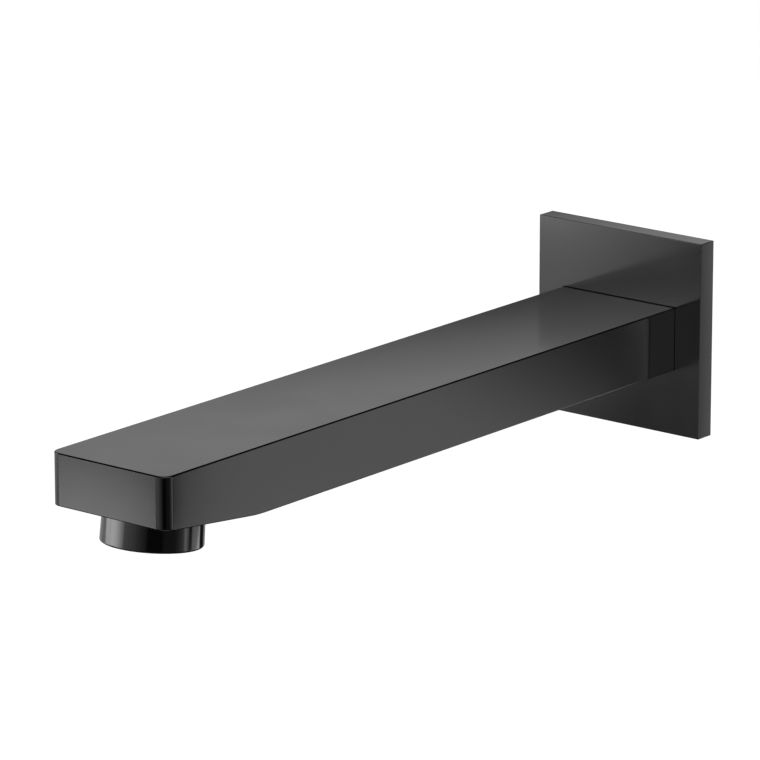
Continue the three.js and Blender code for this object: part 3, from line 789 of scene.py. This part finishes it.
class SPOUT_OT_collar(bpy.types.Operator):
    """Make the round outlet collar with its thread and softened foot"""

    bl_idname = "spout.collar"
    bl_label = "Outlet collar"

    def execute(self, context):
        top, foot = depth_range("aerator_housing", OUTLET, OUTLET_AXIS)
        outer = radius_range("aerator_housing", OUTLET, OUTLET_AXIS)[1]
        shoulder = outer - 0.2 * MM
        seat, thread = 0.25 * MM, 11.75 * MM
        bore, lip = 10.2 * MM, 9.05 * MM
        pitch, cut = 1.0 * MM, 0.5 * MM  # M24 x 1
        edge = [(outer - 0.6 * MM * (1 - math.cos(a)), foot - 0.6 * MM * (1 - math.sin(a)))
                for a in (math.pi / 2 * k / 8 for k in range(9))]
        run = [top + 0.4 * MM + (seat - 1.0 * MM - top) * k / 56 for k in range(57)]
        outline = [(bore, top), (thread - 0.7 * MM, top)] + [(thread, s) for s in run]
        outline += [(thread - 0.4 * MM, seat - 0.4 * MM), (thread - 0.4 * MM, seat),
                    (shoulder - 0.25 * MM, seat), (shoulder - 0.07 * MM, seat + 0.07 * MM),
                    (shoulder, seat + 0.25 * MM)]
        outline += edge
        outline += [(lip + 0.4 * MM, foot), (lip + 0.1 * MM, foot - 0.1 * MM), (lip, foot - 0.4 * MM),
                    (lip, foot - 1.4 * MM), (bore, foot - 1.4 * MM)]

        def shape(radius, depth, angle):
            if abs(radius - thread) < 1e-6:
                return radius - thread_cut(depth, angle, pitch, cut)
            return radius

        collar = turned("outlet_collar", outline, 144, OUTLET_FRAME, shape)
        dress(smooth(collar, angle=40), "aerator_collar", "satin_black", "aerator_housing")
        return {"FINISHED"}


def honeycomb_tree():
    """Geometry nodes: a thin hexagonal wall of the given depth standing on every point."""
    tree = bpy.data.node_groups.new("honeycomb_walls", "GeometryNodeTree")
    face = tree.interface
    face.new_socket("Geometry", in_out="INPUT", socket_type="NodeSocketGeometry")
    cell = face.new_socket("Cell", in_out="INPUT", socket_type="NodeSocketFloat")
    wall = face.new_socket("Wall", in_out="INPUT", socket_type="NodeSocketFloat")
    deep = face.new_socket("Depth", in_out="INPUT", socket_type="NodeSocketFloat")
    paint = face.new_socket("Finish", in_out="INPUT", socket_type="NodeSocketMaterial")
    face.new_socket("Geometry", in_out="OUTPUT", socket_type="NodeSocketGeometry")
    feed = add_node(tree, "NodeGroupInput")
    # One closed wall ring per cell, standing on each vertex of the base grid.
    inner = add_node(tree, "GeometryNodeCurvePrimitiveCircle", {"Radius": feed.outputs["Cell"]},
                     Resolution=6)
    profile = add_node(
        tree, "GeometryNodeCurvePrimitiveQuadrilateral",
        {"Width": feed.outputs["Depth"], "Height": feed.outputs["Wall"]})
    tube = add_node(
        tree, "GeometryNodeCurveToMesh",
        {"Curve": inner.outputs["Curve"], "Profile Curve": profile.outputs["Curve"]})
    spread = add_node(
        tree, "GeometryNodeInstanceOnPoints",
        {"Points": feed.outputs["Geometry"], "Instance": tube.outputs["Mesh"]})
    real = add_node(tree, "GeometryNodeRealizeInstances", {"Geometry": spread.outputs[0]})
    painted = add_node(
        tree, "GeometryNodeSetMaterial",
        {"Geometry": real.outputs[0], "Material": feed.outputs["Finish"]})
    add_node(tree, "NodeGroupOutput", {"Geometry": painted.outputs[0]})
    return tree, {"cell": cell, "wall": wall, "deep": deep, "finish": paint}


class SPOUT_OT_outlet_grid(bpy.types.Operator):
    """Make the honeycomb at the aerator's mouth and the rim that carries it"""

    bl_idname = "spout.outlet_grid"
    bl_label = "Outlet grid"

    def execute(self, context):
        top, foot = depth_range("outlet_grid", OUTLET, OUTLET_AXIS)
        radius = radius_range("outlet_grid", OUTLET, OUTLET_AXIS)[1]
        corner, wall = 0.98 * MM, 0.26 * MM
        pitch = corner * math.sqrt(3)
        reach = radius - 1.25 * MM
        rings = int(reach / pitch) + 2
        points = []
        for q in range(-rings, rings + 1):
            for r in range(-rings, rings + 1):
                x, y = pitch * (q + r / 2), pitch * r * math.sqrt(3) / 2
                if math.hypot(x, y) < reach:
                    points.append(Vector((y, x, 0.0)))
        base = bpy.data.meshes.new("grid_points")
        base.from_pydata(points, [], [])
        grid = new_piece("outlet_honeycomb", base)
        tree, sockets = honeycomb_tree()
        modifier = grid.modifiers.new("honeycomb", "NODES")
        modifier.node_group = tree
        modifier[sockets["cell"].identifier] = corner
        modifier[sockets["wall"].identifier] = wall
        modifier[sockets["deep"].identifier] = foot - top
        modifier[sockets["finish"].identifier] = FINISHES["grey_plastic"]
        settle(grid)
        grid.data.transform(OUTLET_FRAME @ Matrix.Translation((0, 0, (top + foot) / 2)))
        rim = turned("grid_rim", rounded([
            (radius - 0.9 * MM, top), (radius, top), (radius, foot), (radius - 0.9 * MM, foot)],
            0.15 * MM), 96, OUTLET_FRAME)
        join = bmesh.new()
        join.from_mesh(grid.data)
        join.from_mesh(rim.data)
        join.to_mesh(grid.data)
        join.free()
        bpy.data.objects.remove(rim)
        dress(smooth(grid), "aerator_stack", "grey_plastic", "outlet_grid")
        return {"FINISHED"}


class SPOUT_OT_washer(bpy.types.Operator):
    """Make the flat washer above the aerator's insert"""

    bl_idname = "spout.washer"
    bl_label = "Aerator washer"

    def execute(self, context):
        low, high = depth_range("aerator_washer", OUTLET, OUTLET_AXIS)
        inner, outer = radius_range("aerator_washer", OUTLET, OUTLET_AXIS)
        washer = turned("flat_washer", rounded(
            [(inner, low), (outer, low), (outer, high), (inner, high)], 0.2 * MM), 96, OUTLET_FRAME)
        dress(smooth(washer), "aerator_stack", "black_rubber", "aerator_washer")
        return {"FINISHED"}


# ------------------------------------------------------------------ inner pieces kept from the CAD


class SPOUT_OT_inner_pieces(bpy.types.Operator):
    """Give every CAD piece that stays its own finish"""

    bl_idname = "spout.inner_pieces"
    bl_label = "Inner pieces"

    def execute(self, context):
        slots = {entry["node"]: entry["material_slot"] for entry in frame["record"]["subparts"]}
        for name, node in frame["nodes"].items():
            node.data.materials.clear()
            node.data.materials.append(FINISHES[slots[name]])
        return {"FINISHED"}


# ------------------------------------------------------------------ stage


def camera_back(stage):
    """Unit vector from the aim point to the camera."""
    flat = math.cos(stage.elevation)
    return Vector((math.sin(stage.azimuth) * flat, -math.cos(stage.azimuth) * flat,
                   math.sin(stage.elevation)))


def direction(azimuth, elevation):
    """Unit vector towards a place on the studio's sphere, in degrees as the camera's angles are."""
    a, e = math.radians(azimuth), math.radians(elevation)
    return Vector((math.sin(a) * math.cos(e), -math.cos(a) * math.cos(e), math.sin(e)))


def light_card(name, place, spread, strength, fade=None):
    """A glowing card that lights and is mirrored, but is itself unseen by the camera.

    `place` is (azimuth, elevation, distance, middle it faces) and `spread` its left, right,
    bottom and top, in its own plane. `fade` is (sideways, upwards, start, end, least): along
    that direction the glow rises from its `least` share at `start` to full strength at `end`.
    """
    azimuth, elevation, distance, middle = place
    towards = direction(azimuth, elevation)
    left, right, bottom, top = spread
    mesh = bpy.data.meshes.new(name)
    mesh.from_pydata([(left, bottom, 0), (right, bottom, 0), (right, top, 0), (left, top, 0)], [],
                     [(0, 1, 2, 3)])
    card = new_piece(name, mesh)
    card.location = Vector(middle) + towards * distance
    card.rotation_euler = towards.to_track_quat("Z", "Y").to_euler()
    card.visible_camera = False
    card.visible_shadow = False
    material, tree, output = new_material(name)
    glow = add_node(tree, "ShaderNodeEmission", Color=(1, 1, 1, 1), Strength=strength)
    if fade:
        sideways, upwards, start, end, least = fade
        spot = add_node(tree, "ShaderNodeTexCoord")
        along = add_node(
            tree, "ShaderNodeVectorMath", {0: spot.outputs["Object"]}, operation="DOT_PRODUCT")
        along.inputs[1].default_value = Vector((sideways, upwards, 0)).normalized()
        level = add_node(
            tree, "ShaderNodeMapRange", {"Value": along.outputs["Value"]},
            interpolation_type="SMOOTHSTEP",
            **{"From_Min": start, "From_Max": end, "To_Min": least * strength, "To_Max": strength})
        tree.links.new(level.outputs[0], glow.inputs["Strength"])
    finish_material(tree, output, glow)
    card.data.materials.append(material)


BACKDROP_RADIUS = 6.0  # near enough to stay inside the camera's range in every view
MIDDLE = (0, -0.12, 0)
LEFT_FRONT = (-39, -15.4, 0.5, MIDDLE)
RIGHT_BACK = (141, -15.4, 0.35, MIDDLE)
LIGHT_CARDS = (
    # The card behind on the left lights the top face, and fades towards the wall.
    ("card_behind", (-141, 15.4, 0.35, MIDDLE), (-0.26, 0.26, -0.04, 0.065), 0.59,
     (-0.097, 0.995, -0.021, 0.021, 0.05)),
    # The cards behind on the right light the right side, the plate's edge and the collar.
    ("card_right", RIGHT_BACK, (-0.101, 0.052, -0.040, 0.045), 0.52,
     (-0.492, -0.871, -0.050, 0.008, 0.15)),
    ("card_plate_side", RIGHT_BACK, (0.063, 0.20, -0.040, 0.10), 0.60, None),
    ("card_right_low", RIGHT_BACK, (-0.20, 0.12, -0.085, -0.044), 1.6, (1, 0, -0.22, -0.04, 0.2)),
    # The cards on the left, for the plate, for the tip and, higher up, for the collar.
    ("card_plate", LEFT_FRONT, (-0.098, 0.0, -0.30, 0.034), 0.62,
     (-0.85, 0.53, 0.004, 0.068, 0.16)),
    ("card_tip", LEFT_FRONT, (0.022, 0.074, -0.30, 0.042), 1.28,
     (-0.318, -0.948, -0.056, -0.020, 0.35)),
    ("card_collar", LEFT_FRONT, (-0.04, 0.34, 0.054, 0.11), 2.2, (-1, 0, -0.26, 0.04, 0.13)),
    ("card_collar_middle", LEFT_FRONT, (-0.10, -0.04, 0.038, 0.11), 2.2, None),
    ("card_collar_left", LEFT_FRONT, (-0.42, -0.10, 0.028, 0.11), 1.9, None),
    # Dim cards to each side of the camera, which stays a dark gap in the mirror finish.
    ("card_front_left", (2, -8, 0.5, MIDDLE), (-0.26, 0.20, -0.12, 0.10), 0.30,
     (-1, 0, -0.22, 0.20, 0.15)),
    ("card_front_right", (86, -13, 0.5, MIDDLE), (-0.30, 0.30, -0.10, 0.10), 0.36,
     (1, 0, -0.10, 0.34, 0.10)),
    # What the top face and the plate mirror through each other.
    ("card_high_left", (-39, 15.4, 0.35, (0, 0, 0)), (-0.035, 0.07, -0.035, 0.045), 3.0,
     (0, 1, 0.002, 0.030, 0.13)),
    # What the right side and the plate mirror through each other.
    ("card_near_right", (39, -15.4, 0.20, (0.02, 0, 0)), (-0.035, 0.035, -0.045, 0.045), 0.62,
     None),
    # Fill cards for the other sides: the left side, the underside, and the top from behind.
    ("card_left_low", (-95, -15.4, 0.55, MIDDLE), (-0.45, 0.40, -0.20, 0.04), 0.5, None),
    ("card_behind_low", (-141, -24, 0.9, MIDDLE), (-0.45, 0.45, -0.22, 0.20), 0.45, None),
    ("card_fore_high", (62, 26, 0.9, MIDDLE), (-0.75, 0.75, -0.26, 0.30), 0.5, None),
    ("card_left_high", (-84, 20, 0.9, MIDDLE), (-0.28, 0.28, -0.18, 0.20), 0.45, None),
)


FLOOR_HALF = 12.0
DIM_AIR, BRIGHT_AIR = 0.012, 0.35


def make_camera(scene):
    """The camera looks at the aim point along the stage's angles."""
    stage = scene.spout_stage
    camera = bpy.data.objects.new("camera", bpy.data.cameras.new("camera"))
    scene.collection.objects.link(camera)
    back = camera_back(stage)
    camera.location = Vector(stage.aim) + back * stage.distance
    camera.rotation_mode = "QUATERNION"
    camera.rotation_quaternion = (-back).to_track_quat("-Z", "Y")
    camera.data.lens = stage.lens
    camera.data.sensor_width = 36.0
    camera.data.clip_end = 50.0
    scene.camera = camera


def make_floor(scene):
    """A pale floor far below, which the mirror finish doesn't see."""
    mesh = bpy.data.meshes.new("floor")
    half = FLOOR_HALF
    mesh.from_pydata(
        [(-half, -half, 0), (half, -half, 0), (half, half, 0), (-half, half, 0)], [], [(0, 1, 2, 3)])
    floor = new_piece("floor", mesh)
    floor.location.z = -scene.spout_stage.floor_drop
    floor.visible_glossy = False
    material, tree, output = new_material("pale_floor")
    shader = add_node(
        tree, "ShaderNodeBsdfPrincipled", Base_Color=srgb(scene.spout_colours.floor),
        Roughness=0.9, Emission_Color=(1, 1, 1, 1), Emission_Strength=1.0)
    finish_material(tree, output, shader)
    floor.data.materials.append(material)


def make_backdrop():
    """A pale shell that goes all round and is only looked at: it lights nothing."""
    shape = bmesh.new()
    bmesh.ops.create_icosphere(shape, subdivisions=3, radius=BACKDROP_RADIUS)
    mesh = bpy.data.meshes.new("backdrop")
    shape.to_mesh(mesh)
    shape.free()
    backdrop = new_piece("backdrop", mesh)
    backdrop.visible_glossy = False
    backdrop.visible_diffuse = False
    backdrop.visible_shadow = False
    material, tree, output = new_material("pale_backdrop")
    glow = add_node(tree, "ShaderNodeEmission", Color=(1, 1, 1, 1), Strength=1.0)
    finish_material(tree, output, glow)
    material.cycles.emission_sampling = "NONE"
    backdrop.data.materials.append(material)


def make_air(scene):
    """The air is dim near the horizon and brightens straight overhead and straight below."""
    world = bpy.data.worlds.new("studio")
    scene.world = world
    world.use_nodes = True
    tree = world.node_tree
    tree.nodes.clear()
    sky = add_node(tree, "ShaderNodeTexCoord")
    split = add_node(tree, "ShaderNodeSeparateXYZ", {"Vector": sky.outputs["Generated"]})
    height = add_node(tree, "ShaderNodeMath", {0: split.outputs["Z"]}, operation="ABSOLUTE")
    level = add_node(
        tree, "ShaderNodeMapRange", {"Value": height.outputs[0]}, interpolation_type="SMOOTHSTEP",
        **{"From_Min": 0.84, "From_Max": 0.98, "To_Min": DIM_AIR, "To_Max": BRIGHT_AIR})
    air = add_node(tree, "ShaderNodeBackground", {"Strength": level.outputs[0]}, Color=(1, 1, 1, 1))
    out = add_node(tree, "ShaderNodeOutputWorld")
    tree.links.new(air.outputs[0], out.inputs[0])


class SPOUT_OT_stage(bpy.types.Operator):
    """Make the floor, the light cards, the surroundings and the camera"""

    bl_idname = "spout.stage"
    bl_label = "Stage"

    def execute(self, context):
        scene = context.scene
        scene.view_settings.view_transform = "Standard"
        make_camera(scene)
        make_floor(scene)
        make_backdrop()
        make_air(scene)
        for card in LIGHT_CARDS:
            light_card(*card)
        return {"FINISHED"}


# ------------------------------------------------------------------ panel and registration

MAKERS = ("stage", "inner_pieces", "body", "cover_plate", "plate_seals", "inlet_connector",
          "o_rings", "grub_screw", "collar", "outlet_grid", "washer")


class SPOUT_PT_panel(bpy.types.Panel):
    """Lists the makers and their settings"""

    bl_idname = "SPOUT_PT_panel"
    bl_label = "Bath spout"
    bl_space_type = "VIEW_3D"
    bl_region_type = "UI"
    bl_category = "Spout"

    def draw(self, context):
        for group in ("spout_sizes", "spout_colours", "spout_stage"):
            settings = getattr(context.scene, group)
            for key in settings.__annotations__:
                self.layout.prop(settings, key)
        for maker in MAKERS:
            self.layout.operator(f"spout.{maker}")


CLASSES = (
    SpoutSizes, SpoutColours, SpoutStage, SPOUT_OT_body, SPOUT_OT_cover_plate,
    SPOUT_OT_plate_seals, SPOUT_OT_inlet_connector, SPOUT_OT_o_rings, SPOUT_OT_grub_screw,
    SPOUT_OT_collar, SPOUT_OT_outlet_grid, SPOUT_OT_washer, SPOUT_OT_inner_pieces,
    SPOUT_OT_stage, SPOUT_PT_panel,
)


def register():
    for cls in CLASSES:
        bpy.utils.register_class(cls)
    bpy.types.Scene.spout_sizes = PointerProperty(type=SpoutSizes)
    bpy.types.Scene.spout_colours = PointerProperty(type=SpoutColours)
    bpy.types.Scene.spout_stage = PointerProperty(type=SpoutStage)


def unregister():
    del bpy.types.Scene.spout_stage
    del bpy.types.Scene.spout_colours
    del bpy.types.Scene.spout_sizes
    for cls in reversed(CLASSES):
        bpy.utils.unregister_class(cls)


def main():
    register()
    make_finishes()
    for maker in MAKERS:
        getattr(bpy.ops.spout, maker)()


if __name__ == "__main__":
    main()
